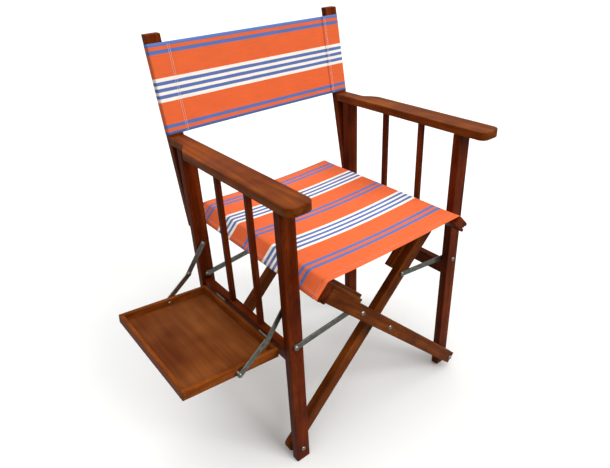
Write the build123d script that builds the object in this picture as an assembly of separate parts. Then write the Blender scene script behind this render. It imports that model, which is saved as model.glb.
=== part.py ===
from build123d import *
import math
import os

# Folding slatted-arm chair with a cloth seat and back, and a drop-leaf tray on the sitter's right.
# Millimetres. The chair faces -Y, +Z is up, and the tray is on the -X side.
# The code works in chair coordinates: x from the outer face of the left side frame, y from the
# front face of the front posts, z from the floor. Every piece is moved to the row's origin,
# the bottom centre of the whole chair's box, when it is written.

# ---- driving dimensions -------------------------------------------------------------------
FRAME_W = 510.0          # outer face to outer face of the two side frames
FRAME_D = 372.0          # front face of the front posts to rear face of the rear posts
POST_X = 34.0            # section of the upright posts
POST_Y = 19.0
ARM_TOP = 663.0
ARM_T = 18.0
ARM_OUT = 21.0           # how far the arm stands out beyond the post
ARM_FRONT = 58.0         # how far the arm stands out in front of the post
ARM_TAIL_Y = 397.0       # where the narrow rear tail meets the back post
ARM_CORNER_R = 17.0
ARM_NECK_Y = (297.0, 338.0)   # the arm narrows between these
ARM_NECK_MIDDLE = (-8.8, 321.5)    # a point of the neck's curve, x and y
ARM_NECK_SLOPES = ((0.35, 1), (0.12, 1))
ARM_EDGE = 2.0           # rounding of the arm's upper and lower edges

RAIL_X = 18.0            # lower side rail
RAIL_INSET = 6.0
RAIL_Z = (282.0, 315.0)
SPINDLE_X = 11.0
SPINDLE_Y = 12.0
SPINDLE_AT = (123.0, 235.0)
SPINDLE_EDGE = 1.0

BACK_LEAN = 9.9          # degrees
BACK_POST_T = 18.0
BACK_POST_TOP = 868.5
BACK_POST_FOOT = 455.0
BACK_CLOTH_Z = (668.0, 851.0)

LEG_W = 31.0             # crossing legs: width in the plane of the fold, and thickness
LEG_T = 19.0
FOOT_X = 17.0            # pivot of a crossing leg in its post
FOOT_Z = 33.0
CENTRE_Z = 265.0         # crossing point
LEG_UPPER = 264.0        # crossing point to the leg's top end
SQUARE_TOE = 8.0         # leg beyond its foot pivot, square end
ROUND_TOE = 24.0         # the same, rounded end
TOE_R = 15.0
FRONT_GAP = 6.6          # between a leg that passes in front of a post and that post
REAR_GAP = 3.6           # between a post and a leg that passes behind it

SEAT_RAIL_T = 22.0
SEAT_RAIL_W = 40.0
SEAT_RAIL_SHIFT = 3.5    # towards the top, flush with the cleats
SEAT_RAIL_OVERHANG = 45.0
HEM_GROOVE = 8.4
HEM_GROOVE_DEPTH = 12.0
HEM_DOWEL_R = 3.0
RAIL_CORNER_R = 3.0
CLEAT_W = 11.0
CLEAT_LOW = 116.0        # crossing point to the cleat's lower end

LINK_D = 117.0           # crossing point to the link's bolt on the leg
LINK_POST = (15.0, 329.5)    # link's bolt on the post, from the post's outer face and the floor
LINK_W = 13.0
LINK_T = 3.0
LINK_EDGE = 0.4
SLIP = 0.3               # gap between flat faces that slide past each other

BOLT_R = 3.0
BOLT_HOLE_R = 3.06
HEAD_R = 5.6
HEAD_H = 3.0
HEAD_DOME = 2.1          # rounding of a bolt head
NUT_R = 5.5
NUT_H = 4.0
SPACER_R = 7.0
RIVET_R = 2.5
RIVET_HEAD = (5.0, 2.0)  # radius and height
RIVET_DOME = 1.2

TRAY_TILT = 5.4          # degrees above level when open
TRAY_HINGE = (3.5, 307.6)    # hinge axis, x and z
TRAY_Y = (38.0, 340.5)
TRAY_W = 216.5           # hinge axis to the outer face
TRAY_H = 19.6
TRAY_GAP = 3.0           # hinge axis to the inner rim
RIM_T = 9.0
TRAY_PANEL_T = 4.5
TRAY_EDGE = 1.0
PIN_R = 1.2              # panel pins at the tray's corners
PIN_PROUD = 0.5
PIN_SHARES = (0.3, 0.7)  # where they stand, as shares of the rim's height
HINGE_R = 2.2
HINGE_PIN_R = 1.0
HINGE_BORE_R = 1.05
HINGE_PLAY = 0.15        # between barrel pieces, and round the barrel
TAB_DROP = 1.5           # how far a leaf's neck reaches below its barrel
TAB_SETBACK = 0.6
HINGE_LEN = 38.0
HINGE_AT = (94.0, 272.0)
LEAF_T = 1.2
LEAF_H = 15.0

STAY_POST = (13.0, 416.0)    # upper pivot of a stay, x and z
STAY_TRAY = (101.0, 10.0)    # lower pivot: along the tray from its hinge, and below its top
STAY_LEN = 78.5
STAY_W = 12.0
STAY_T = 2.2
STAY_SETBACK = (4.6, 6.9)    # off the front and the rear post, clear of their link bolts
STAY_OVERRUN = 6.0       # the upper bar runs on past its knee and stops the fold
CAP_R = 4.6
CAP_H = 1.8
CAP_DOME = 1.08
STAY_EDGE = 0.35

CLOTH_T = 1.8
CLOTH_GAP = 0.3
HEM_MARGIN = 2.0         # the rails stand out this far beyond the seat cloth's edges
SOFT_EDGE = 1.6          # rounding of a timber's long edges

# ---- worked-out values --------------------------------------------------------------------
MID_X = FRAME_W / 2
REAR_POST_Y = FRAME_D - POST_Y
LEG_ANGLE = math.degrees(math.atan2(CENTRE_Z - FOOT_Z, MID_X - FOOT_X))
LEG_LOWER = math.hypot(CENTRE_Z - FOOT_Z, MID_X - FOOT_X)
LEG_COS = math.cos(math.radians(LEG_ANGLE))
LEG_SIN = math.sin(math.radians(LEG_ANGLE))
BEFORE_POST = -FRONT_GAP - LEG_T / 2          # middle plane of a leg in front of its post
BEHIND_POST = POST_Y + REAR_GAP + LEG_T / 2   # middle plane of a leg behind its post
ROWS = (0.0, REAR_POST_Y)                     # front and rear scissors are alike
RAIL_MID_X = RAIL_INSET + RAIL_X / 2
RAIL_MID_U = LEG_UPPER + SEAT_RAIL_T / 2      # seat rail's middle, along its legs
RAIL_TOP_V = SEAT_RAIL_SHIFT + SEAT_RAIL_W / 2
RAIL_LOW_V = SEAT_RAIL_SHIFT - SEAT_RAIL_W / 2
HEM_V = RAIL_LOW_V + HEM_GROOVE_DEPTH - HEM_GROOVE / 2
LEAN_TAN = math.tan(math.radians(BACK_LEAN))
TILT = math.radians(TRAY_TILT)


def block(x, y, z, edge=SOFT_EDGE):
    """A straight timber between two corners, long edges eased."""
    size = (x[1] - x[0], y[1] - y[0], z[1] - z[0])
    middle = ((x[0] + x[1]) / 2, (y[0] + y[1]) / 2, (z[0] + z[1]) / 2)
    solid = Pos(*middle) * Box(*size)
    return fillet(solid.edges(), edge) if edge else solid


def rod(x, y0, y1, z, radius):
    """A round bar along Y."""
    return Pos(x, (y0 + y1) / 2, z) * Rot(90, 0, 0) * Cylinder(radius, abs(y1 - y0))


def mirrored(solid):
    """The same piece on the right side of the chair."""
    return mirror(solid, Plane.YZ.offset(MID_X))


def leg_point(side, u, v=0.0):
    """x and z of a point u along a crossing leg from the crossing and v above its centre line."""
    return MID_X + side * (u * LEG_COS - v * LEG_SIN), CENTRE_Z + u * LEG_SIN + v * LEG_COS


def leg_plane(side, y):
    """Plane of a crossing leg: local x runs up the leg, local y across it, upwards.
    side is +1 for a leg that rises to the right and -1 for one that rises to the left."""
    return Plane(
        origin=(MID_X, y, CENTRE_Z), x_dir=(side * LEG_COS, 0, LEG_SIN), z_dir=(0, -side, 0)
    )


def bolt(x, z, y_head, y_end):
    """A domed bolt along Y, its head's underside at y_head and its shank ending at y_end."""
    shank = rod(x, y_head, y_end, z, BOLT_R)
    head = rod(x, y_head - HEAD_H, y_head, z, HEAD_R)
    head = fillet(head.edges().sort_by(Axis.Y)[0], HEAD_DOME)
    return head + shank


def nut(x, z, y_face):
    """A hexagon nut on the far face of a joint."""
    outline = Plane(origin=(x, y_face, z), z_dir=(0, 1, 0)) * RegularPolygon(NUT_R, 6)
    body = extrude(outline, NUT_H)
    return body - rod(x, y_face - 1, y_face + NUT_H + 1, z, BOLT_R)


def bored(solid, *holes):
    """The solid with round holes along Y, each given as x and z."""
    reach = FRAME_D + 2 * SEAT_RAIL_OVERHANG
    for x, z in holes:
        solid = solid - rod(x, -reach, reach + FRAME_D, z, BOLT_HOLE_R)
    return solid


# ---- side frames --------------------------------------------------------------------------
def post(y0):
    solid = block((0, POST_X), (y0, y0 + POST_Y), (0, ARM_TOP - ARM_T))
    return bored(solid, (FOOT_X, FOOT_Z), LINK_POST)


def side_rail():
    return block((RAIL_INSET, RAIL_INSET + RAIL_X), (POST_Y, REAR_POST_Y), RAIL_Z)


def spindle(y):
    x = (RAIL_MID_X - SPINDLE_X / 2, RAIL_MID_X + SPINDLE_X / 2)
    span = (y - SPINDLE_Y / 2, y + SPINDLE_Y / 2)
    return block(x, span, (RAIL_Z[1], ARM_TOP - ARM_T), SPINDLE_EDGE)


def armrest():
    """Flat arm, rounded in front, narrowing from its outer side to the width of the post."""
    front = -ARM_FRONT
    near, far = ARM_NECK_Y
    with BuildSketch(Plane.XY.offset(ARM_TOP - ARM_T)) as outline:
        with BuildLine():
            Polyline(
                (0, far), (0, ARM_TAIL_Y), (POST_X, ARM_TAIL_Y), (POST_X, front),
                (-ARM_OUT, front), (-ARM_OUT, near),
            )
            Spline((-ARM_OUT, near), ARM_NECK_MIDDLE, (0, far), tangents=ARM_NECK_SLOPES)
        make_face()
    solid = extrude(outline.sketch, ARM_T)
    corners = solid.edges().filter_by(Axis.Z).group_by(Axis.Y)[0]
    solid = fillet(corners, ARM_CORNER_R)
    lean_cut = Plane(origin=(0, ARM_TAIL_Y, ARM_TOP), x_dir=(1, 0, 0), z_dir=(0, 1, -LEAN_TAN))
    solid = split(solid, lean_cut, keep=Keep.BOTTOM)
    rim = solid.faces().sort_by(Axis.Z)
    return fillet(rim[-1].edges() + rim[0].edges(), ARM_EDGE)


def back_post():
    """Leaning post, its lower end scarfed to the rear face of the rear post."""
    foot_y = ARM_TAIL_Y - (ARM_TOP - BACK_POST_FOOT) * LEAN_TAN
    top_y = ARM_TAIL_Y + (BACK_POST_TOP - ARM_TOP) * LEAN_TAN
    depth = BACK_POST_T / math.cos(math.radians(BACK_LEAN))
    side = [(foot_y, BACK_POST_FOOT), (foot_y + depth, BACK_POST_FOOT),
            (top_y + depth, BACK_POST_TOP), (top_y, BACK_POST_TOP)]
    outline = make_face(Polyline(*[(0, y, z) for y, z in side], close=True))
    solid = extrude(outline, POST_X, dir=(1, 0, 0))
    solid = fillet(solid.edges(), SOFT_EDGE)
    return split(solid, Plane.XZ.offset(-FRAME_D), keep=Keep.BOTTOM)


# ---- crossing legs and seat rails ---------------------------------------------------------
def crossing_leg(side, y, toe, rounded):
    bottom = -LEG_LOWER - toe
    length = LEG_UPPER - bottom
    board = Pos((LEG_UPPER + bottom) / 2, 0) * Rectangle(length, LEG_W)
    solid = extrude(leg_plane(side, y) * board, LEG_T / 2, both=True)
    along = Axis((MID_X, y, CENTRE_Z), (side * LEG_COS, 0, LEG_SIN))
    if rounded:
        ends = solid.edges().filter_by(Axis.Y).group_by(along)[0]
        solid = fillet(ends, TOE_R)
    solid = fillet(solid.faces().sort_by(Axis.Y)[0].edges(), SOFT_EDGE)
    solid = fillet(solid.faces().sort_by(Axis.Y)[-1].edges(), SOFT_EDGE)
    return bored(solid, leg_point(side, -LEG_LOWER), leg_point(side, 0), leg_point(side, LINK_D))


def seat_rail(side):
    """Long rail across the ends of a front and a rear leg, grooved below for the cloth's hem."""
    length = FRAME_D + 2 * SEAT_RAIL_OVERHANG
    board = RectangleRounded(SEAT_RAIL_T, SEAT_RAIL_W, RAIL_CORNER_R)
    section = Pos(RAIL_MID_U, SEAT_RAIL_SHIFT) * board - Pos(RAIL_MID_U, HEM_V) * Circle(HEM_GROOVE / 2)
    section -= Pos(RAIL_MID_U, HEM_V - HEM_GROOVE_DEPTH / 2) * Rectangle(HEM_GROOVE, HEM_GROOVE_DEPTH)
    return extrude(leg_plane(side, FRAME_D / 2) * section, length / 2, both=True)


def hem_dowel(side):
    x, z = leg_point(side, RAIL_MID_U, HEM_V)
    return rod(x, -SEAT_RAIL_OVERHANG, FRAME_D + SEAT_RAIL_OVERHANG, z, HEM_DOWEL_R)


def cleat(side, y_leg):
    """Short batten behind the top of a leg, up to the underside of the seat rail."""
    y = y_leg + LEG_T
    middle = RAIL_TOP_V - CLEAT_W / 2
    board = Pos((LEG_UPPER + CLEAT_LOW) / 2, middle) * Rectangle(LEG_UPPER - CLEAT_LOW, CLEAT_W)
    solid = extrude(leg_plane(side, y) * board, LEG_T / 2, both=True)
    return fillet(solid.edges().filter_by(Axis((0, 0, 0), (side * LEG_COS, 0, LEG_SIN))), SOFT_EDGE)


def link_ends(side):
    """x and z of a link's two pivots, the post's first."""
    post_x = LINK_POST[0] if side < 0 else FRAME_W - LINK_POST[0]
    return (post_x, LINK_POST[1]), leg_point(side, LINK_D)


def link(side, y0):
    """Flat steel link from a post's bolt to a leg's bolt."""
    (post_x, post_z), (leg_x, leg_z) = link_ends(side)
    start = Vector(post_x, y0, post_z)
    end = Vector(leg_x, y0, leg_z)
    plane = Plane(origin=(start + end) / 2, x_dir=end - start, z_dir=(0, 1, 0))
    bar = extrude(plane * SlotCenterToCenter((end - start).length, LINK_W), LINK_T)
    bar = bored(fillet(bar.edges(), LINK_EDGE), (post_x, post_z))
    return bar - rod(leg_x, y0 - 1, y0 + LINK_T + 1, leg_z, RIVET_R)


def leg_link_bolt(side, y_leg):
    """Bolt through a leg at its link; the head is on the face away from the link."""
    x, z = leg_point(side, LINK_D)
    if side < 0:
        tip = y_leg + LEG_T / 2 + FRONT_GAP - LINK_T - 2 * SLIP
        return bolt(x, z, y_leg - LEG_T / 2, tip)
    return Pos(0, y_leg + LEG_T / 2, 0) * mirror(bolt(x, z, 0, LEG_T), Plane.XZ)


def link_rivet(side, y0):
    """Rivet in a link's eye at the leg, its head on the face away from the leg."""
    leg_x, leg_z = leg_point(side, LINK_D)
    away = 1 if side < 0 else -1
    face = y0 + LINK_T if side < 0 else y0
    shank = rod(leg_x, y0, y0 + LINK_T, leg_z, RIVET_R)
    head = rod(leg_x, face, face + away * RIVET_HEAD[1], leg_z, RIVET_HEAD[0])
    outer = head.edges().sort_by(Axis.Y)[-1 if side < 0 else 0]
    return shank + fillet(outer, RIVET_DOME)


# ---- tray ---------------------------------------------------------------------------------
def on_tray(solid):
    """Places a piece given in tray coordinates: x outwards from the hinge axis, y to the
    chair's front, z above the tray's top."""
    out = (-math.cos(TILT), 0, math.sin(TILT))
    up = (math.sin(TILT), 0, math.cos(TILT))
    return Location(Plane(origin=(TRAY_HINGE[0], 0, TRAY_HINGE[1]), x_dir=out, z_dir=up)) * solid


def tray_block(x, y, z, edge=TRAY_EDGE):
    return on_tray(block(x, (-y[1], -y[0]), z, edge))


def tray_point(x, z):
    """x and z in chair coordinates of a point in tray coordinates."""
    return (TRAY_HINGE[0] - x * math.cos(TILT) + z * math.sin(TILT),
            TRAY_HINGE[1] + x * math.sin(TILT) + z * math.cos(TILT))


def tray_rims():
    front, rear = TRAY_Y
    height = (-TRAY_H, 0)
    side = (TRAY_GAP, TRAY_W)
    inside = (front + RIM_T, rear - RIM_T)
    hole = tray_point(STAY_TRAY[0], -STAY_TRAY[1])
    return {
        "tray_front_rim": bored(tray_block(side, (front, front + RIM_T), height), hole),
        "tray_rear_rim": bored(tray_block(side, (rear - RIM_T, rear), height), hole),
        "tray_inner_rim": tray_block((TRAY_GAP, TRAY_GAP + RIM_T), inside, height),
        "tray_outer_rim": tray_block((TRAY_W - RIM_T, TRAY_W), inside, height),
    }


def tray_panel():
    x = (TRAY_GAP + RIM_T, TRAY_W - RIM_T)
    y = (TRAY_Y[0] + RIM_T, TRAY_Y[1] - RIM_T)
    return tray_block(x, y, (-TRAY_H, -TRAY_H + TRAY_PANEL_T), 0)


def corner_pins():
    """Panel pins through the end of the front and rear rims, heads just proud."""
    pins = []
    for y, out in ((TRAY_Y[0], -1), (TRAY_Y[1], 1)):
        for x in (TRAY_GAP + RIM_T / 2, TRAY_W - RIM_T / 2):
            for share in PIN_SHARES:
                px, pz = tray_point(x, -TRAY_H * share)
                pins.append(rod(px, y, y + out * PIN_PROUD, pz, PIN_R))
    return pins


def knuckle(y, part):
    """Hinge barrel pieces along the tray's hinge axis: part 0 is the rail's, 1 the tray's."""
    share = HINGE_LEN / 5
    spans = ((0, 1), (2, 3), (4, 5)) if part == 0 else ((1, 2), (3, 4))
    x, z = TRAY_HINGE
    pieces = []
    for low, high in spans:
        y0 = y - HINGE_LEN / 2 + low * share + HINGE_PLAY
        y1 = y - HINGE_LEN / 2 + high * share - HINGE_PLAY
        pieces.append(rod(x, y0, y1, z, HINGE_R) - rod(x, y0 - 1, y1 + 1, z, HINGE_BORE_R))
    return pieces


def rail_leaf(y):
    """Leaf let onto the side rail's outer face, with its share of the barrel."""
    span = (y - HINGE_LEN / 2 + HINGE_PLAY, y + HINGE_LEN / 2 - HINGE_PLAY)
    plate = block((RAIL_INSET - LEAF_T, RAIL_INSET), span, (TRAY_HINGE[1] - LEAF_H, TRAY_HINGE[1]), 0)
    cut = rod(TRAY_HINGE[0], span[0] - 1, span[1] + 1, TRAY_HINGE[1], HINGE_R + HINGE_PLAY)
    barrel = knuckle(y, 0)
    tabs = []
    for piece in barrel:
        box = piece.bounding_box()
        x = (TRAY_HINGE[0] + TAB_SETBACK, RAIL_INSET)
        z = (TRAY_HINGE[1] - HINGE_R - TAB_DROP, TRAY_HINGE[1])
        tab = block(x, (box.min.Y, box.max.Y), z, 0)
        bore = rod(TRAY_HINGE[0], box.min.Y - 1, box.max.Y + 1, TRAY_HINGE[1], HINGE_BORE_R)
        tabs.append(tab - bore)
    leaf = plate - cut
    for piece in barrel + tabs:
        leaf = leaf + piece
    return leaf


def tray_leaf(y):
    """Leaf on the inner rim's end face, with its share of the barrel."""
    span = (y - HINGE_LEN / 2 + HINGE_PLAY, y + HINGE_LEN / 2 - HINGE_PLAY)
    plate = tray_block((TRAY_GAP - LEAF_T, TRAY_GAP), span, (-LEAF_H, 0), 0)
    cut = rod(TRAY_HINGE[0], span[0] - 1, span[1] + 1, TRAY_HINGE[1], HINGE_R + HINGE_PLAY)
    leaf = plate - cut
    for piece in knuckle(y, 1):
        box = piece.bounding_box()
        tab = tray_block((TAB_SETBACK, TRAY_GAP), (box.min.Y, box.max.Y), (-HINGE_R - TAB_DROP, 0), 0)
        tab = tab - rod(TRAY_HINGE[0], box.min.Y - 1, box.max.Y + 1, TRAY_HINGE[1], HINGE_BORE_R)
        leaf = leaf + piece + tab
    return leaf


def hinge_pin(y):
    return rod(TRAY_HINGE[0], y - HINGE_LEN / 2, y + HINGE_LEN / 2, TRAY_HINGE[1], HINGE_PIN_R)


# ---- folding stays ------------------------------------------------------------------------
def stay_knee():
    """Knee of a stay that hangs just short of straight, bent inwards and down."""
    top = Vector(STAY_POST[0], 0, STAY_POST[1])
    low_x, low_z = tray_point(STAY_TRAY[0], -STAY_TRAY[1])
    low = Vector(low_x, 0, low_z)
    half = (low - top).length / 2
    sag = math.sqrt(STAY_LEN ** 2 - half ** 2)
    along = (low - top).normalized()
    inward = Vector(-along.Z, 0, along.X)
    return (top + low) / 2 + inward * sag


def stay_bar(a, b, y0, overrun=0.0):
    """Flat bar with round ends between two pivots; overrun carries it on past the second."""
    along = (b - a).normalized()
    end = b + along * overrun
    middle = (a + end) / 2
    plane = Plane(origin=(middle.X, y0, middle.Z), x_dir=along, z_dir=(0, 1, 0))
    bar = extrude(plane * SlotCenterToCenter((end - a).length, STAY_W), STAY_T)
    return fillet(bar.edges(), STAY_EDGE)


def capped_pin(x, z, start, end, out, cap_r):
    """A pin along Y from start to end with a low domed cap beyond its end."""
    cap = rod(x, end, end + out * CAP_H, z, cap_r)
    rim = cap.edges().sort_by(Axis.Y)[-1 if out > 0 else 0]
    return rod(x, start, end, z, BOLT_R) + fillet(rim, CAP_DOME)


def stay_pieces():
    """Front and rear stays. Each upper bar hangs on a post, each lower bar on the tray's rim."""
    top = Vector(STAY_POST[0], 0, STAY_POST[1])
    knee = stay_knee()
    low_x, low_z = tray_point(STAY_TRAY[0], -STAY_TRAY[1])
    low = Vector(low_x, 0, low_z)
    groups = ("stay_knee_rivets", "stay_post_screws", "stay_end_rivets", "stay_tray_studs")
    pieces = {group: [] for group in groups}
    for place, face, out, setback, rim in (
        ("front", POST_Y, 1, STAY_SETBACK[0], TRAY_Y[0]),
        ("rear", REAR_POST_Y, -1, STAY_SETBACK[1], TRAY_Y[1]),
    ):
        upper_near = face + out * setback
        upper_far = upper_near + out * STAY_T
        lower_near = upper_far + out * SLIP
        lower_far = lower_near + out * STAY_T
        upper = stay_bar(top, knee, min(upper_near, upper_far), STAY_OVERRUN)
        upper = bored(upper, STAY_POST) - rod(knee.X, face, upper_far + out, knee.Z, BOLT_R)
        lower = bored(stay_bar(knee, low, min(lower_near, lower_far)), (knee.X, knee.Z))
        lower = lower - rod(low.X, face, lower_far + out, low.Z, BOLT_R)
        pieces[f"{place}_upper_stay"] = [upper]
        pieces[f"{place}_lower_stay"] = [lower]
        rivet = capped_pin(knee.X, knee.Z, upper_near, lower_far + out * SLIP, out, CAP_R)
        screw = capped_pin(top.X, top.Z, face, upper_far + out * SLIP, out, CAP_R)
        screw += rod(top.X, face, upper_near - out * SLIP, top.Z, CAP_R)
        inside = rim + out * RIM_T
        end_rivet = capped_pin(low.X, low.Z, lower_far, lower_near, -out, CAP_R)
        stud = capped_pin(low.X, low.Z, rim, inside, out, CAP_R)
        stud += rod(low.X, lower_far + out * SLIP, rim, low.Z, CAP_R)
        pieces["stay_knee_rivets"].append(rivet)
        pieces["stay_post_screws"].append(screw)
        pieces["stay_end_rivets"].append(end_rivet)
        pieces["stay_tray_studs"].append(stud)
    return pieces


# ---- cloth, as plain solids ---------------------------------------------------------------
def seat_cloth():
    """The seat's cloth, over the tops and down the outer faces of the two seat rails."""
    outer = LEG_UPPER + SEAT_RAIL_T + CLOTH_GAP
    top = RAIL_TOP_V + CLOTH_GAP
    inner_line = [leg_point(1, outer, RAIL_LOW_V), leg_point(1, outer, top)]
    outer_line = [leg_point(1, outer + CLOTH_T, RAIL_LOW_V), leg_point(1, outer + CLOTH_T, top + CLOTH_T)]
    inner_line += [(MID_X, inner_line[1][1])]
    outer_line += [(MID_X, outer_line[1][1])]
    corners = outer_line + inner_line[::-1]
    outline = make_face(Polyline(*[(x, 0, z) for x, z in corners], close=True))
    overhang = SEAT_RAIL_OVERHANG - HEM_MARGIN
    half = Pos(0, -overhang, 0) * extrude(outline, FRAME_D + 2 * overhang, dir=(0, 1, 0))
    return half + mirrored(half)


def back_cloth():
    """The back's cloth: a sleeve round each back post and the panel between them."""
    lean = Vector(0, math.sin(math.radians(BACK_LEAN)), math.cos(math.radians(BACK_LEAN)))
    low, high = BACK_CLOTH_Z
    base_y = ARM_TAIL_Y + (low - ARM_TOP) * LEAN_TAN
    plane = Plane(origin=(0, base_y, low), x_dir=(1, 0, 0), z_dir=lean)
    gap = CLOTH_GAP
    wall = CLOTH_T
    middle = (POST_X / 2, BACK_POST_T / 2)
    ring = Rectangle(POST_X + 2 * (gap + wall), BACK_POST_T + 2 * (gap + wall))
    ring -= Rectangle(POST_X + 2 * gap, BACK_POST_T + 2 * gap)
    left = Pos(*middle) * ring
    right = Pos(FRAME_W - middle[0], middle[1]) * ring
    panel = Pos(MID_X, -gap - wall / 2) * Rectangle(FRAME_W - POST_X, wall)
    height = (high - low) / math.cos(math.radians(BACK_LEAN))
    return extrude(plane * (left + right + panel), height)


# ---- assembly -----------------------------------------------------------------------------
nodes = {}
frame_side = {
    "front_leg": post(0),
    "rear_leg": post(REAR_POST_Y),
    "side_rail": side_rail(),
    "spindles": [spindle(y) for y in SPINDLE_AT],
    "armrest": armrest(),
    "back_post": back_post(),
}
for name, shape in frame_side.items():
    pieces = shape if isinstance(shape, list) else [shape]
    nodes["left_" + name] = pieces
    nodes["right_" + name] = [mirrored(piece) for piece in pieces]

# Side +1 rises to the right and stands behind the posts; side -1 rises to the left, in front.
LEG_SETS = ((1, "right", BEHIND_POST, ROUND_TOE, True), (-1, "left", BEFORE_POST, SQUARE_TOE, False))
for side, word, offset, toe, rounded in LEG_SETS:
    for row, place in zip(ROWS, ("front", "rear")):
        nodes[f"{place}_leg_rising_{word}"] = [crossing_leg(side, row + offset, toe, rounded)]
    nodes[f"{word}_seat_rail"] = [seat_rail(side)]
    nodes[f"{word}_hem_dowel"] = [hem_dowel(side)]
    nodes[f"{word}_seat_cleats"] = [cleat(side, row + offset) for row in ROWS]
    nodes[f"{word}_leg_link_bolts"] = [leg_link_bolt(side, row + offset) for row in ROWS]

link_layer = {-1: -SLIP - LINK_T, 1: POST_Y + SLIP}
for side, word in ((-1, "left"), (1, "right")):
    for row, place in zip(ROWS, ("front", "rear")):
        nodes[f"{word}_{place}_link"] = [link(side, row + link_layer[side])]
    nodes[f"{word}_link_rivets"] = [link_rivet(side, row + link_layer[side]) for row in ROWS]

LEG_FRONT = BEFORE_POST - LEG_T / 2
LEG_REAR = BEHIND_POST + LEG_T / 2
nodes["centre_bolts"] = [bolt(MID_X, CENTRE_Z, row + LEG_FRONT, row + LEG_REAR + NUT_H) for row in ROWS]
nodes["centre_nuts"] = [nut(MID_X, CENTRE_Z, row + LEG_REAR) for row in ROWS]
spacer_span = (-FRONT_GAP + SLIP, POST_Y + REAR_GAP - SLIP)
nodes["centre_spacers"] = [
    rod(MID_X, row + spacer_span[0], row + spacer_span[1], CENTRE_Z, SPACER_R)
    - rod(MID_X, row + spacer_span[0] - 1, row + spacer_span[1] + 1, CENTRE_Z, BOLT_HOLE_R)
    for row in ROWS
]

# Foot bolts and link bolts belong to the frame whose post they are tight in.
right_foot = FRAME_W - FOOT_X
right_link = FRAME_W - LINK_POST[0]
link_head = -LINK_T - 2 * SLIP
link_tail = POST_Y + LINK_T + 2 * SLIP
nodes["left_foot_bolts"] = [bolt(FOOT_X, FOOT_Z, row, row + LEG_REAR + NUT_H) for row in ROWS]
nodes["left_link_bolts"] = [bolt(*LINK_POST, row + link_head, row + POST_Y + NUT_H) for row in ROWS]
nodes["left_frame_nuts"] = (
    [nut(FOOT_X, FOOT_Z, row + LEG_REAR) for row in ROWS]
    + [nut(*LINK_POST, row + POST_Y) for row in ROWS]
)
nodes["right_foot_bolts"] = [bolt(right_foot, FOOT_Z, row + LEG_FRONT, row + POST_Y + NUT_H) for row in ROWS]
nodes["right_link_bolts"] = [bolt(right_link, LINK_POST[1], row, row + link_tail + NUT_H) for row in ROWS]
nodes["right_frame_nuts"] = (
    [nut(right_foot, FOOT_Z, row + POST_Y) for row in ROWS]
    + [nut(right_link, LINK_POST[1], row + link_tail) for row in ROWS]
)

for name, shape in tray_rims().items():
    nodes[name] = [shape]
nodes["tray_panel"] = [tray_panel()]
nodes["tray_corner_pins"] = corner_pins()
nodes["rail_hinge_leaves"] = [rail_leaf(y) for y in HINGE_AT]
nodes["tray_hinge_leaves"] = [tray_leaf(y) for y in HINGE_AT]
nodes["tray_hinge_pins"] = [hinge_pin(y) for y in HINGE_AT]

for name, shape in stay_pieces().items():
    nodes[name] = shape

nodes["seat_cloth"] = [seat_cloth()]
nodes["back_cloth"] = [back_cloth()]

whole = Compound([piece for pieces in nodes.values() for piece in pieces]).bounding_box()
to_origin = Location((-(whole.min.X + whole.max.X) / 2, -(whole.min.Y + whole.max.Y) / 2, -whole.min.Z))

if __name__ == "__main__":
    os.makedirs("parts", exist_ok=True)
    for name, pieces in nodes.items():
        placed = [to_origin * piece for piece in pieces]
        export_step(placed[0] if len(placed) == 1 else Compound(placed), f"parts/{name}.step")
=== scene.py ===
import math
import random

import bpy
from mathutils import Matrix, Vector


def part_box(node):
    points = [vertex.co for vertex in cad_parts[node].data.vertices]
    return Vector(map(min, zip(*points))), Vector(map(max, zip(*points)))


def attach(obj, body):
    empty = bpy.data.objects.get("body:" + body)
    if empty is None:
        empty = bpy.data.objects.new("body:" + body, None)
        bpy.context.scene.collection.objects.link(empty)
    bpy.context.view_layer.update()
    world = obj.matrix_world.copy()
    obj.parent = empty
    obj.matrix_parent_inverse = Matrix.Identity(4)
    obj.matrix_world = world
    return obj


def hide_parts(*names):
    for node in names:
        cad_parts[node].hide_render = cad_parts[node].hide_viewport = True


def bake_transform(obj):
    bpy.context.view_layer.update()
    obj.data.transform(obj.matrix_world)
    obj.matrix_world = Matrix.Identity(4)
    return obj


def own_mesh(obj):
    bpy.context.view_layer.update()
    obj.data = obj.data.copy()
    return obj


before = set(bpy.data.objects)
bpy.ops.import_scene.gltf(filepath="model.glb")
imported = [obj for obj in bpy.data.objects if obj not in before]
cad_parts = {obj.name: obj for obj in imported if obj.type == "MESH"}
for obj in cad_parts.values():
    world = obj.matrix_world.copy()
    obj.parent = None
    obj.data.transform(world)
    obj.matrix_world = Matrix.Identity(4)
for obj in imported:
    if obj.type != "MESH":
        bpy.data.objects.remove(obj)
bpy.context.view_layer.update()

MM = 0.001
rng = random.Random(11)

# ---- where things are -------------------------------------------------------------------
# Lengths below are in chair coordinates, in millimetres: x from the outer face of the left
# side frame, y from the front of the front legs, z from the floor.
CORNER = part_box("left_front_leg")[0]
FRAME_W = 510.0
POST_X = 34.0
BACK_POST_T = 18.0
BACK_LEAN = math.radians(9.9)
ARM_TAIL_Y = 397.0
ARM_TOP = 663.0
BACK_CLOTH_Z = (668.0, 851.0)
LEG_ANGLE = math.atan2(232.0, 238.0)
CROSSING = (255.0, 265.0)
RAIL_U = (264.0, 286.0)          # seat rail, along its legs from the crossing
RAIL_V = (-16.5, 23.5)           # and across them
SEAT_Y = (-43.0, 412.0)
CLOTH_GAP = 0.9
CLOTH_T = 1.1


def at(x, y, z):
    """A point in chair millimetres as a point of the scene in metres."""
    return Vector((CORNER[0] + x * MM, CORNER[1] + y * MM, z * MM))


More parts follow.
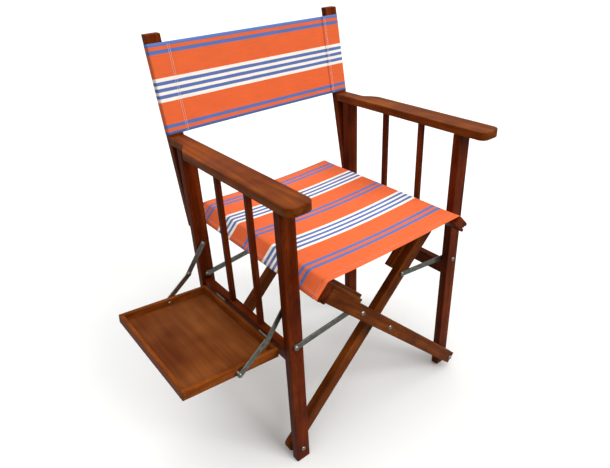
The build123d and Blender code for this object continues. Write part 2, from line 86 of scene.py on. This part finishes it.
# ---- materials --------------------------------------------------------------------------
def colour(code):
    """An sRGB hex value as a linear colour."""
    parts = [int(code[i:i + 2], 16) / 255 for i in (0, 2, 4)]
    return [c / 12.92 if c <= 0.04045 else ((c + 0.055) / 1.055) ** 2.4 for c in parts] + [1.0]


def add(tree, kind, settings=None, links=None):
    """Adds one node. settings are its properties and input values, links its inputs' sources."""
    node = tree.nodes.new(kind)
    for key, value in (settings or {}).items():
        if isinstance(key, int) or key in node.inputs:
            node.inputs[key].default_value = value
        else:
            setattr(node, key, value)
    for key, source in (links or {}).items():
        output = source if isinstance(source, bpy.types.NodeSocket) else source.outputs[0]
        tree.links.new(output, node.inputs[key])
    return node


def new_material(name, settings):
    material = bpy.data.materials.new(name)
    material.use_nodes = True
    tree = material.node_tree
    shader = tree.nodes["Principled BSDF"]
    for key, value in settings.items():
        shader.inputs[key].default_value = value
    return material, tree, shader


def set_ramp(node, stops, how="LINEAR"):
    ramp = node.color_ramp
    ramp.interpolation = how
    while len(ramp.elements) < len(stops):
        ramp.elements.new(0.5)
    for element, (place, code) in zip(ramp.elements, stops):
        element.position = place
        element.color = colour(code)
    return node


def connect(tree, shader, base, rough, bump=None):
    """Joins what a material worked out to its shader."""
    tree.links.new(base, shader.inputs["Base Color"])
    tree.links.new(rough.outputs[0], shader.inputs["Roughness"])
    if bump:
        tree.links.new(bump.outputs[0], shader.inputs["Normal"])


def varnished_hardwood(name, along, tones, gloss=0.36, pore_depth=0.55,
                       patch=("B09C8C", 70.0)):
    """Tropical hardwood under a satin reddish varnish. Long grain with fine dark pores, broad
    bands of colour, stain patches with patch's tint and size in mm, and a thin clear coat.
    tones are the dark, middle and light of the grain, then the pores' colour."""
    material, tree, shader = new_material(name, {
        "IOR": 1.5, "Specular IOR Level": 0.14, "Coat Weight": 0.04, "Coat Roughness": 0.15,
        "Specular Tint": colour("D87A40"),
    })
    turn = Vector(along).normalized().rotation_difference(Vector((1, 0, 0))).to_euler()
    place = add(tree, "ShaderNodeTexCoord")
    piece = add(tree, "ShaderNodeObjectInfo")
    shift = add(tree, "ShaderNodeVectorMath", {"operation": "SCALE", 0: (3.1, 1.7, 2.3)},
                {"Scale": piece.outputs["Random"]})
    turned = add(tree, "ShaderNodeMapping", {"Rotation": turn},
                 {"Vector": place.outputs["Object"]})
    moved = add(tree, "ShaderNodeVectorMath", {"operation": "ADD"}, {0: turned, 1: shift})
    # Growth bands 14 mm wide and 220 mm long.
    long_grain = add(tree, "ShaderNodeMapping", {"Scale": (4.5, 70, 70)}, {"Vector": moved})
    bands = add(tree, "ShaderNodeTexNoise", {"Scale": 1.0, "Detail": 4.0, "Roughness": 0.55,
                                             "Distortion": 0.6}, {"Vector": long_grain})
    # Pores 0.9 mm wide and 12 mm long, drawn coarser than the 0.2 mm of the real ones.
    fine_grain = add(tree, "ShaderNodeMapping", {"Scale": (80, 1100, 1100)}, {"Vector": moved})
    pores = add(tree, "ShaderNodeTexNoise", {"Scale": 1.0, "Detail": 2.0}, {"Vector": fine_grain})
    # Stain patches, as far across as patch says.
    patches = add(tree, "ShaderNodeTexNoise", {"Scale": 1 / (patch[1] * MM), "Detail": 2.0},
                  {"Vector": moved})
    tone = set_ramp(add(tree, "ShaderNodeValToRGB", None, {"Fac": bands}),
                    [(0.30, tones[0]), (0.50, tones[1]), (0.72, tones[2])])
    patch_tone = set_ramp(add(tree, "ShaderNodeValToRGB", None, {"Fac": patches}),
                          [(0.32, patch[0]), (0.66, "FFFFFF")])
    stained = add(tree, "ShaderNodeMix", {"data_type": "RGBA", "blend_type": "MULTIPLY", 0: 0.75},
                  {6: tone, 7: patch_tone})
    pore_mask = add(tree, "ShaderNodeMapRange",
                    {"From Min": 0.52, "From Max": 0.68, "To Min": 0.0, "To Max": pore_depth},
                    {"Value": pores})
    final = add(tree, "ShaderNodeMix", {"data_type": "RGBA", 7: colour(tones[3])},
                {0: pore_mask, 6: stained.outputs[2]})
    dull = add(tree, "ShaderNodeMapRange", {"To Min": gloss - 0.08, "To Max": gloss + 0.14},
               {"Value": patches})
    eased = add(tree, "ShaderNodeBevel", {"samples": 4, "Radius": 0.0025})
    bump = add(tree, "ShaderNodeBump", {"Strength": 0.16, "Distance": 0.0004, "invert": True},
               {"Height": pore_mask, "Normal": eased})
    connect(tree, shader, final.outputs[2], dull, bump)
    return material


def zinc_plate(name, tones, rough=0.34):
    """Steel strip with dull zinc plating. Grey with a faint green cast, cloudy, and darker in
    the scratches that folding leaves."""
    material, tree, shader = new_material(name, {"Metallic": 1.0})
    place = add(tree, "ShaderNodeTexCoord")
    # Plating clouds 9 mm across, scratches 0.5 mm wide.
    cloud = add(tree, "ShaderNodeTexNoise", {"Scale": 110.0, "Detail": 3.0},
                {"Vector": place.outputs["Object"]})
    stretch = add(tree, "ShaderNodeMapping", {"Scale": (300, 2000, 300)},
                  {"Vector": place.outputs["Object"]})
    scratch = add(tree, "ShaderNodeTexNoise", {"Scale": 1.0, "Detail": 2.0}, {"Vector": stretch})
    tone = set_ramp(add(tree, "ShaderNodeValToRGB", None, {"Fac": cloud}),
                    [(0.32, tones[0]), (0.55, tones[1]), (0.75, tones[2])])
    mask = add(tree, "ShaderNodeMapRange", {"From Min": 0.58, "From Max": 0.72, "To Max": 0.25},
               {"Value": scratch})
    final = add(tree, "ShaderNodeMix", {"data_type": "RGBA", 7: colour(tones[0])},
                {0: mask, 6: tone})
    dull = add(tree, "ShaderNodeMapRange", {"To Min": rough - 0.1, "To Max": rough + 0.16},
               {"Value": cloud})
    bump = add(tree, "ShaderNodeBump", {"Strength": 0.12, "Distance": 0.0002}, {"Height": scratch})
    connect(tree, shader, final.outputs[2], dull, bump)
    return material


ORANGE, BLUE, CREAM = "EB6A38", "5B77B5", "FFF8EC"
# One repeat of the stripes, as shares of it from the middle of a pair of blue lines.
STRIPES = [(0.0, ORANGE), (0.020, BLUE), (0.0673, ORANGE), (0.3552, CREAM), (0.3966, BLUE),
           (0.4380, CREAM), (0.4793, BLUE), (0.5207, CREAM), (0.5621, BLUE), (0.6034, CREAM),
           (0.6448, ORANGE), (0.9327, BLUE), (0.980, ORANGE)]


def striped_canvas(name, pair_at, repeat):
    """Cotton deck-chair canvas, plain weave with the stripes woven in. Matt, with a slight nap,
    uneven yarn that shows as faint streaks, and a weave that softens every stripe's edge.
    The sheets' own coordinates run u along the stripes and v across them, in metres."""
    material, tree, shader = new_material(name, {
        "Sheen Weight": 0.12, "Sheen Roughness": 0.5, "Specular IOR Level": 0.18, "IOR": 1.45,
    })
    shader.inputs["Sheen Tint"].default_value = colour("FFD8C4")
    sheet = add(tree, "ShaderNodeUVMap", {"uv_map": "cloth"})
    split = add(tree, "ShaderNodeSeparateXYZ", None, {0: sheet})
    # Yarn ribs 1.6 mm apart, drawn coarser than the 0.6 mm of the real yarn.
    ribs = 2 * math.pi / 0.0016
    weft = add(tree, "ShaderNodeMath", {"operation": "MULTIPLY", 1: ribs}, {0: split.outputs[1]})
    warp = add(tree, "ShaderNodeMath", {"operation": "MULTIPLY", 1: ribs}, {0: split.outputs[0]})
    weft_wave = add(tree, "ShaderNodeMath", {"operation": "SINE"}, {0: weft})
    warp_wave = add(tree, "ShaderNodeMath", {"operation": "SINE"}, {0: warp})
    weave = add(tree, "ShaderNodeMath", {"operation": "MULTIPLY"}, {0: weft_wave, 1: warp_wave})
    # Slubs 45 mm long and 1.5 mm wide, and cloudy dye 60 mm across.
    stretched = add(tree, "ShaderNodeMapping", {"Scale": (22, 650, 1)}, {"Vector": sheet})
    slubs = add(tree, "ShaderNodeTexNoise", {"Scale": 1.0, "Detail": 3.0}, {"Vector": stretched})
    clouds = add(tree, "ShaderNodeTexNoise", {"Scale": 16.0, "Detail": 3.0}, {"Vector": sheet})
    # Stripe edges wander by a yarn.
    jitter = add(tree, "ShaderNodeMath", {"operation": "MULTIPLY_ADD", 1: 0.0012, 2: -0.0006},
                 {0: slubs})
    across = add(tree, "ShaderNodeMath", {"operation": "ADD"}, {0: split.outputs[1], 1: jitter})
    counted = add(tree, "ShaderNodeMath", {"operation": "MULTIPLY_ADD", 1: 1 / (repeat * MM),
                                           2: 4 - pair_at / repeat}, {0: across})
    share = add(tree, "ShaderNodeMath", {"operation": "FRACT"}, {0: counted})
    stripes = set_ramp(add(tree, "ShaderNodeValToRGB", None, {"Fac": share}), STRIPES,
                       "CONSTANT")
    uneven = add(tree, "ShaderNodeMapRange", {"From Min": 0.3, "From Max": 0.7, "To Min": 0.92,
                                              "To Max": 1.04}, {"Value": slubs})
    cloudy = add(tree, "ShaderNodeMapRange", {"From Min": 0.3, "From Max": 0.7, "To Min": 0.95,
                                              "To Max": 1.03}, {"Value": clouds})
    both = add(tree, "ShaderNodeMath", {"operation": "MULTIPLY"}, {0: uneven, 1: cloudy})
    dyed = add(tree, "ShaderNodeVectorMath", {"operation": "SCALE"}, {0: stripes, "Scale": both})
    height = add(tree, "ShaderNodeMath", {"operation": "MULTIPLY_ADD", 1: 0.35},
                 {0: weave, 2: slubs})
    bump = add(tree, "ShaderNodeBump", {"Strength": 0.35, "Distance": 0.0006}, {"Height": height})
    rough = add(tree, "ShaderNodeMapRange", {"To Min": 0.78, "To Max": 0.95}, {"Value": clouds})
    connect(tree, shader, dyed.outputs[0], rough, bump)
    return material


def spun_thread(name, code, light):
    """Polyester sewing thread. Light and shade on the twist's ridges and grooves are painted on as
    fine diagonal bands: the light colour is painted highlight, code the thread's own colour in
    painted shade.
    """
    material, tree, shader = new_material(name, {"Sheen Weight": 0.2, "IOR": 1.5})
    place = add(tree, "ShaderNodeTexCoord")
    twist_light_and_shade = add(tree, "ShaderNodeTexWave", {"Scale": 260.0, "Distortion": 1.0},
                {"Vector": place.outputs["Object"]})
    # painted highlight and shade of the twist: light on its ridges, code in its grooves
    tone = set_ramp(add(tree, "ShaderNodeValToRGB", None, {"Fac": twist_light_and_shade}),
                    [(0.2, code), (0.8, light)])
    rough = add(tree, "ShaderNodeMapRange", {"To Min": 0.5, "To Max": 0.7}, {"Value": twist_light_and_shade})
    connect(tree, shader, tone.outputs[0], rough)
    return material


def moulded_nylon(name, code):
    """Black nylon spacer, moulded, with a fine satin texture."""
    material, tree, shader = new_material(name, {"IOR": 1.53})
    place = add(tree, "ShaderNodeTexCoord")
    grit = add(tree, "ShaderNodeTexNoise", {"Scale": 1400.0}, {"Vector": place.outputs["Object"]})
    tone = set_ramp(add(tree, "ShaderNodeValToRGB", None, {"Fac": grit}),
                    [(0.3, code), (0.8, "34302C")])
    rough = add(tree, "ShaderNodeMapRange", {"To Min": 0.4, "To Max": 0.6}, {"Value": grit})
    bump = add(tree, "ShaderNodeBump", {"Strength": 0.2, "Distance": 0.0001}, {"Height": grit})
    connect(tree, shader, tone.outputs[0], rough, bump)
    return material


leg_x, leg_z = math.cos(LEG_ANGLE), math.sin(LEG_ANGLE)
REDDISH = ("501904", "6C2806", "84380E", "200A02")
BROWNER = ("562508", "72370D", "8A4816", "241004")
TAWNY = ("683009", "864313", "9A521D", "381808")
UPRIGHT = varnished_hardwood("hardwood_upright", (0, 0, 1), REDDISH)
LENGTHWISE = varnished_hardwood("hardwood_lengthwise", (0, 1, 0), REDDISH)
RISING_RIGHT = varnished_hardwood("hardwood_leg_rising_right", (leg_x, 0, leg_z), BROWNER)
RISING_LEFT = varnished_hardwood("hardwood_leg_rising_left", (-leg_x, 0, leg_z), BROWNER)
LEANING = varnished_hardwood("hardwood_leaning", (0, math.sin(BACK_LEAN), math.cos(BACK_LEAN)),
                             REDDISH)
ARM_WOOD = varnished_hardwood("hardwood_arm", (0, 1, 0), TAWNY, 0.36, 0.4)
RIM_CROSSWISE = varnished_hardwood("hardwood_rim_crosswise", (1, 0, 0), TAWNY)
RIM_LENGTHWISE = varnished_hardwood("hardwood_rim_lengthwise", (0, 1, 0), TAWNY)
TRAY_TONES = ("6E3A18", "7C441E", "864C24", "5A3015")
TRAY_WOOD = varnished_hardwood("tray_board", (0, 1, 0), TRAY_TONES, 0.34, 0.12, ("A07860", 110.0))
ZINC = zinc_plate("zinc_plated_steel", ("84877C", "9A9D92", "B0B2A8"))
BRIGHT = zinc_plate("bright_zinc_heads", ("989B90", "B4B6AC", "D0D0C8"), 0.26)
# each thread's second colour is the painted highlight on its twist
THREAD = spun_thread("white_thread", "E9DFD2", "FFFFFF")
PALE_THREAD = spun_thread("pale_orange_thread", "E8977A", "F8B496")
NYLON = moulded_nylon("black_nylon", "171412")

FINISHES = (
    (UPRIGHT, ("left_front_leg", "left_rear_leg", "left_spindles",
               "right_front_leg", "right_rear_leg", "right_spindles")),
    (LENGTHWISE, ("left_side_rail", "right_side_rail", "left_seat_rail", "right_seat_rail",
                  "left_hem_dowel", "right_hem_dowel")),
    (ARM_WOOD, ("left_armrest", "right_armrest")),
    (RIM_CROSSWISE, ("tray_front_rim", "tray_rear_rim")),
    (RIM_LENGTHWISE, ("tray_inner_rim", "tray_outer_rim")),
    (RISING_RIGHT, ("front_leg_rising_right", "rear_leg_rising_right", "right_seat_cleats")),
    (RISING_LEFT, ("front_leg_rising_left", "rear_leg_rising_left", "left_seat_cleats")),
    (LEANING, ("left_back_post", "right_back_post")),
    (TRAY_WOOD, ("tray_panel",)),
    (BRIGHT, ("left_foot_bolts", "left_link_bolts", "left_frame_nuts", "right_foot_bolts",
              "right_link_bolts", "right_frame_nuts", "left_leg_link_bolts", "right_leg_link_bolts",
              "centre_bolts", "centre_nuts", "stay_knee_rivets", "stay_post_screws",
              "stay_end_rivets", "stay_tray_studs", "left_link_rivets", "right_link_rivets",
              "tray_corner_pins")),
    (ZINC, ("left_front_link", "left_rear_link", "right_front_link", "right_rear_link",
            "front_upper_stay", "front_lower_stay", "rear_upper_stay", "rear_lower_stay",
            "rail_hinge_leaves", "tray_hinge_leaves", "tray_hinge_pins")),
    (NYLON, ("centre_spacers",)),
)
for material, names in FINISHES:
    for name in names:
        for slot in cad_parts[name].material_slots:
            slot.material = material


# ---- cloth ------------------------------------------------------------------------------
def sheet_mesh(name, path, spans, place, material):
    """A woven sheet swept across: path gives (s, point) along the stripes, spans the v values
    across them. place turns a path point, v and s into a scene point."""
    count = len(path)
    points = [place(p, v, s) for v in spans for s, p in path]
    faces = [(j * count + i, j * count + i + 1, (j + 1) * count + i + 1, (j + 1) * count + i)
             for j in range(len(spans) - 1) for i in range(count - 1)]
    mesh = bpy.data.meshes.new(name)
    mesh.from_pydata(points, [], faces)
    layer = mesh.uv_layers.new(name="cloth")
    for loop in mesh.loops:
        row, column = divmod(loop.vertex_index, count)
        layer.data[loop.index].uv = (path[column][0] * MM, spans[row] * MM)
    mesh.materials.append(material)
    mesh.polygons.foreach_set("use_smooth", [True] * len(mesh.polygons))
    piece = bpy.data.objects.new(name, mesh)
    bpy.context.collection.objects.link(piece)
    return piece


def thicken(piece, thickness, offset):
    solid = piece.modifiers.new("cloth thickness", "SOLIDIFY")
    solid.thickness = thickness * MM
    solid.offset = offset
    solid.use_even_offset = True


def smooth_path(corners, radius, step):
    """A line through corners with each one rounded, as (distance, point) pairs in the plane."""
    points = [Vector(corners[0])]
    for before, corner, after in zip(corners, corners[1:], corners[2:]):
        corner = Vector(corner)
        to_before = (Vector(before) - corner)
        to_after = (Vector(after) - corner)
        reach = min(radius, to_before.length * 0.48, to_after.length * 0.48)
        start = corner + to_before.normalized() * reach
        end = corner + to_after.normalized() * reach
        for i in range(7):
            t = i / 6
            points.append((1 - t) ** 2 * start + 2 * t * (1 - t) * corner + t * t * end)
    points.append(Vector(corners[-1]))
    line, distance = [(0.0, points[0])], 0.0
    for a, b in zip(points, points[1:]):
        length = (b - a).length
        parts = max(1, math.ceil(length / step))
        for i in range(1, parts + 1):
            line.append((distance + length * i / parts, a.lerp(b, i / parts)))
        distance += length
    return line


def steps(low, high, size, extra=()):
    """Even steps from low to high, with the extra values put in."""
    count = max(1, round((high - low) / size))
    values = {round(low + (high - low) * i / count, 4) for i in range(count + 1)}
    return sorted(values | {e for e in extra if low < e < high})


STITCH_PROFILE = ((0.0, 0.25), (0.18, 0.85), (0.5, 1.0), (0.82, 0.85), (1.0, 0.25))
THREAD_FLAT = 0.8        # the thread is pressed a little flat


def stitches(name, lines, place, thread=THREAD, size=0.45, length=3.0, pitch=4.4):
    """Rows of lock stitches: short raised threads along each line, a little uneven."""
    points, faces = [], []
    sides = 6
    for start, end in lines:
        start, end = Vector(start), Vector(end)
        run = (end - start).length
        way = (end - start).normalized()
        for i in range(int(run / pitch)):
            begin = start + way * (i * pitch + rng.uniform(-0.25, 0.25))
            long = length * rng.uniform(0.88, 1.08)
            first = len(points)
            a, b = place(begin), place(begin + way * long)
            axis = (b[0] - a[0]).normalized()
            out = a[1]
            side = axis.cross(out).normalized()
            for share, width in STITCH_PROFILE:
                middle = a[0].lerp(b[0], share)
                for k in range(sides):
                    turn = 2 * math.pi * k / sides
                    reach = size * width * MM
                    ring_way = side * math.cos(turn) + out * THREAD_FLAT * math.sin(turn)
                    points.append(middle + ring_way * reach)
            for ring in range(len(STITCH_PROFILE) - 1):
                for k in range(sides):
                    near = first + ring * sides + k
                    next_one = first + ring * sides + (k + 1) % sides
                    faces.append((near, next_one, next_one + sides, near + sides))
            faces.append(tuple(first + k for k in reversed(range(sides))))
            last = first + (len(STITCH_PROFILE) - 1) * sides
            faces.append(tuple(last + k for k in range(sides)))
    mesh = bpy.data.meshes.new(name)
    mesh.from_pydata(points, [], faces)
    mesh.materials.append(thread)
    mesh.polygons.foreach_set("use_smooth", [True] * len(mesh.polygons))
    piece = bpy.data.objects.new(name, mesh)
    bpy.context.collection.objects.link(piece)
    return piece


# The seat: from the groove under the left rail, up its outer face, across, and down again.
def leg_point(side, u, v):
    return (CROSSING[0] + side * (u * leg_x - v * leg_z), CROSSING[1] + u * leg_z + v * leg_x)


SEAT_REPEAT = 178.5
SEAT_CANVAS = striped_canvas("striped_canvas_seat", 198.0, SEAT_REPEAT)
GROOVE_EDGE = 14.0       # from the rail's inner face to the outer wall of its hem groove
TUCK = 2.0               # how far the cloth's end goes into the groove
UNDER_GAP = 1.0
outer_u = RAIL_U[1] + CLOTH_GAP
groove_u = RAIL_U[0] + GROOVE_EDGE
under_v = RAIL_V[0] - UNDER_GAP
half_seat = [leg_point(-1, groove_u, RAIL_V[0] + TUCK), leg_point(-1, groove_u, under_v),
             leg_point(-1, outer_u, under_v), leg_point(-1, outer_u, RAIL_V[1] + CLOTH_GAP)]
other_half = [(2 * CROSSING[0] - x, z) for x, z in reversed(half_seat)]
SEAT_PATH = smooth_path(half_seat + other_half, 5.0, 9.0)
SEAT_SAG = 7.0
SEAT_HEM = 13.0
SEAT_HEM_RISE = 0.7      # the hem's second layer
RIPPLE = 0.5             # puckers beside the right rail
EDGE_PULL = 2.2          # the front and rear edges are drawn in by this in the middle
PULL_REACH = 60.0
SEAT_MIDDLE_Y = 180.0
seat_left, seat_right = half_seat[-1][0], other_half[0][0]


def seat_drop(x, y):
    """How far the seat hangs below its rails: deepest in the middle, less at the hemmed ends."""
    across = (x - seat_left) / (seat_right - seat_left)
    if not 0 < across < 1:
        return 0.0
    along = (y - SEAT_Y[0]) / (SEAT_Y[1] - SEAT_Y[0])
    bow = math.sin(math.pi * across)
    ripple = RIPPLE * math.sin(9.0 * along + 2.0) * math.exp(-((across - 0.97) / 0.06) ** 2)
    return SEAT_SAG * bow * (0.72 + 0.28 * math.sin(math.pi * along)) + ripple


def seat_point(p, y, s):
    x, z = p
    edge = min(y - SEAT_Y[0], SEAT_Y[1] - y)
    hem = SEAT_HEM_RISE if edge < SEAT_HEM else 0.0
    across = min(max((x - seat_left) / (seat_right - seat_left), 0), 1)
    pull = EDGE_PULL * math.sin(math.pi * across)
    inward = pull * (1 if y < SEAT_MIDDLE_Y else -1) * max(0.0, 1 - edge / PULL_REACH)
    return at(x, y + inward, z - seat_drop(x, y) + hem)


seat_rows = steps(SEAT_Y[0], SEAT_Y[1], 12.0,
                  (SEAT_Y[0] + SEAT_HEM, SEAT_Y[0] + SEAT_HEM + 1.2,
                   SEAT_Y[1] - SEAT_HEM, SEAT_Y[1] - SEAT_HEM - 1.2))
seat = sheet_mesh("seat_canvas", SEAT_PATH, seat_rows, seat_point, SEAT_CANVAS)
thicken(seat, CLOTH_T, -1.0)


def seat_stitch_place(q):
    """Top of the seat's cloth at an x and y, with the way out of the cloth."""
    x, y = q[0], q[1]
    z = half_seat[-1][1] - seat_drop(x, y)
    return at(x, y, z + CLOTH_T + 0.9), Vector((0, 0, 1))


HEM_ROWS = (9.5, 12.5)   # two rows of stitches, from the hem's edge
seat_lines = []
for inset in HEM_ROWS:
    for y in (SEAT_Y[0] + inset, SEAT_Y[1] - inset):
        seat_lines.append(((seat_left + 8, y, 0), (seat_right - 8, y, 0)))
seat_thread = stitches("seat_hem_stitching", seat_lines, seat_stitch_place, PALE_THREAD, 0.35)


def fall_stitch_place(side):
    out = Vector((side * leg_x, 0, leg_z))

    def place(q):
        x, z = leg_point(side, outer_u + CLOTH_T + 0.1, q[0])
        return at(x, q[1], z), out
    return place


RAIL_ROWS = (7.0, 10.0)  # and two along each rail, from its lower edge
fall_threads = []
for side, word in ((-1, "left"), (1, "right")):
    lines = []
    for inset in HEM_ROWS:
        for y in (SEAT_Y[0] + inset, SEAT_Y[1] - inset):
            lines.append(((RAIL_V[0] + 1, y, 0), (RAIL_V[1] - 5, y, 0)))
    for v in (RAIL_V[0] + row for row in RAIL_ROWS):
        lines.append(((v, SEAT_Y[0] + 3, 0), (v, SEAT_Y[1] - 3, 0)))
    fall_threads.append(stitches(f"{word}_seat_rail_stitching", lines, fall_stitch_place(side),
                                 PALE_THREAD, 0.4))

# The back: a sleeve round each post and the panel between them.
BACK_REPEAT = 165.0
BACK_HEIGHT = (BACK_CLOTH_Z[1] - BACK_CLOTH_Z[0]) / math.cos(BACK_LEAN)
BACK_CANVAS = striped_canvas("striped_canvas_back", BACK_HEIGHT - 11.0, BACK_REPEAT)
lean_up = Vector((0, math.sin(BACK_LEAN), math.cos(BACK_LEAN)))
lean_out = Vector((0, -math.cos(BACK_LEAN), math.sin(BACK_LEAN)))
BACK_FOOT_Y = ARM_TAIL_Y + (BACK_CLOTH_Z[0] - ARM_TOP) * math.tan(BACK_LEAN)
SLEEVE_END = 16.0        # the sleeve's seam stands this far inside the post
BACK_HEM = 6.0
BACK_HEM_EDGE = 6.8      # where the hem's second layer has ended
BACK_HEM_RISE = 0.25
SEAM_X = (8.5, 12.5)     # two rows of stitches, from the post's inner face
SEAM_PROUD = 0.35
PANEL_EASE = 3.0         # how far the panel eases back in its middle
PANEL_SETBACK = 0.5      # behind the fronts of the posts, between the sleeves' two layers
PANEL_MARGIN = 3.0       # from each post to the panel's end


def back_point(x, depth, v):
    """Point of the back: x across, depth behind the front of the posts, v up the cloth."""
    return at(x, BACK_FOOT_Y, BACK_CLOTH_Z[0]) + (lean_up * v - lean_out * depth) * MM


BACK_ROWS = steps(0.0, BACK_HEIGHT, 9.0, (BACK_HEM, BACK_HEM_EDGE, BACK_HEIGHT - BACK_HEM,
                                         BACK_HEIGHT - BACK_HEM_EDGE))


def sleeve(side):
    word = "left" if side < 0 else "right"
    gap = CLOTH_GAP
    inner, outer = POST_X + gap, -gap
    front, rear = -gap, BACK_POST_T + gap
    # the rear layer comes forward past the post and lies against the front one at the seam
    corners = [(inner + SLEEVE_END, front - 0.3), (outer, front), (outer, rear), (inner, rear),
               (inner + 2.0, front + 2.6), (inner + SLEEVE_END, front + 1.6)]
    if side > 0:
        corners = [(FRAME_W - x, d) for x, d in corners]
    path = smooth_path(corners, 4.0, 5.0)
    base = inner + SLEEVE_END
    line = [((base - s) if side < 0 else (FRAME_W - base + s), p) for s, p in path]

    def place(p, v, s):
        edge = min(v, BACK_HEIGHT - v)
        hem = BACK_HEM_RISE if edge < BACK_HEM else 0.0
        return back_point(p[0], p[1] - hem, v)

    piece = sheet_mesh(f"back_sleeve_{word}", line, BACK_ROWS, place, BACK_CANVAS)
    thicken(piece, CLOTH_T, -side)
    return piece


def panel_depth(x, v):
    """The panel is pulled flat and eases back a little between the posts, more at its middle."""
    across = (x - POST_X) / (FRAME_W - 2 * POST_X)
    bow = math.sin(math.pi * min(max(across, 0), 1))
    return PANEL_EASE * bow * (0.8 + 0.2 * math.cos(v / 50.0))


PANEL_X = (POST_X + PANEL_MARGIN, FRAME_W - POST_X - PANEL_MARGIN)
panel_path = [(x, (x, 0.0)) for x in steps(PANEL_X[0], PANEL_X[1], 9.0)]
panel = sheet_mesh(
    "back_panel", panel_path, BACK_ROWS,
    lambda p, v, s: back_point(p[0], PANEL_SETBACK + panel_depth(p[0], v), v), BACK_CANVAS)
thicken(panel, CLOTH_T, 0.0)
sleeve_left, sleeve_right = sleeve(-1), sleeve(1)


def back_stitch_place(q):
    return back_point(q[0], -CLOTH_GAP - CLOTH_T - SEAM_PROUD, q[1]), lean_out


back_threads = {}
for side, word in ((-1, "left"), (1, "right")):
    lines = []
    for x in (POST_X + row for row in SEAM_X):
        x = x if side < 0 else FRAME_W - x
        lines.append(((x, 1.5, 0), (x, BACK_HEIGHT - 1.5, 0)))
    back_threads[word] = stitches(f"{word}_back_seam_stitching", lines, back_stitch_place)

# ---- how the pieces move ----------------------------------------------------------------
for piece in [seat, seat_thread]:
    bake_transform(piece)
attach(fall_threads[0], "legs_rising_left")
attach(fall_threads[1], "legs_rising_right")
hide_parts("seat_cloth")

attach(sleeve_left, "tray_side_frame")
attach(back_threads["left"], "tray_side_frame")
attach(sleeve_right, "right_side_frame")
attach(back_threads["right"], "right_side_frame")
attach(panel, "tray_side_frame")
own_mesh(panel)
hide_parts("back_cloth")

# ---- floor, light and camera ------------------------------------------------------------
floor_material, tree, shader = new_material("pale_floor", {"Roughness": 0.9,
                                                           "Specular IOR Level": 0.1})
shader.inputs["Base Color"].default_value = colour("F2F2F0")
bpy.ops.mesh.primitive_plane_add(size=60.0, location=(0, 0, -0.0002))
floor = bpy.context.object
floor.name = "floor"
floor.data.materials.append(floor_material)
floor.visible_diffuse = False
floor.visible_glossy = False

bpy.context.scene.view_settings.view_transform = "Standard"
world = bpy.data.worlds.new("studio")
bpy.context.scene.world = world
world.use_nodes = True
world.node_tree.nodes["Background"].inputs["Color"].default_value = colour("FFFFFF")
world.node_tree.nodes["Background"].inputs["Strength"].default_value = 0.3


def soft_light(name, way, strength, spread):
    """A large soft light far away, shining along way."""
    light = bpy.data.lights.new(name, "SUN")
    light.energy = strength
    light.angle = math.radians(spread)
    lamp = bpy.data.objects.new(name, light)
    bpy.context.collection.objects.link(lamp)
    lamp.rotation_euler = Vector(way).to_track_quat("-Z", "Y").to_euler()
    return lamp


soft_light("key_light", (-0.3, 0.9, -0.65), 2.0, 35)
soft_light("top_light", (0.1, 0.0, -1.0), 2.3, 80)

# The camera stands by the chair's front left corner, above its back, and looks down at it.
PLACE = (-441.4, -658.3, 1032.4)
YAW, PITCH, ROLL = 0.642, -0.520, -0.052
LENS = 31.46
forward = Vector((math.sin(YAW) * math.cos(PITCH), math.cos(YAW) * math.cos(PITCH),
                  math.sin(PITCH)))
level = Vector((math.cos(YAW), -math.sin(YAW), 0))
above = level.cross(forward)
right = level * math.cos(ROLL) + above * math.sin(ROLL)
up = above * math.cos(ROLL) - level * math.sin(ROLL)
camera_data = bpy.data.cameras.new("camera")
camera_data.lens = LENS
camera_data.sensor_width = 36.0
camera_data.shift_x = 0.0007
camera_data.shift_y = 0.0067
camera = bpy.data.objects.new("camera", camera_data)
bpy.context.collection.objects.link(camera)
facing = Matrix((right, up, -forward)).transposed().to_4x4()
camera.matrix_world = Matrix.Translation(at(*PLACE)) @ facing
bpy.context.scene.camera = camera
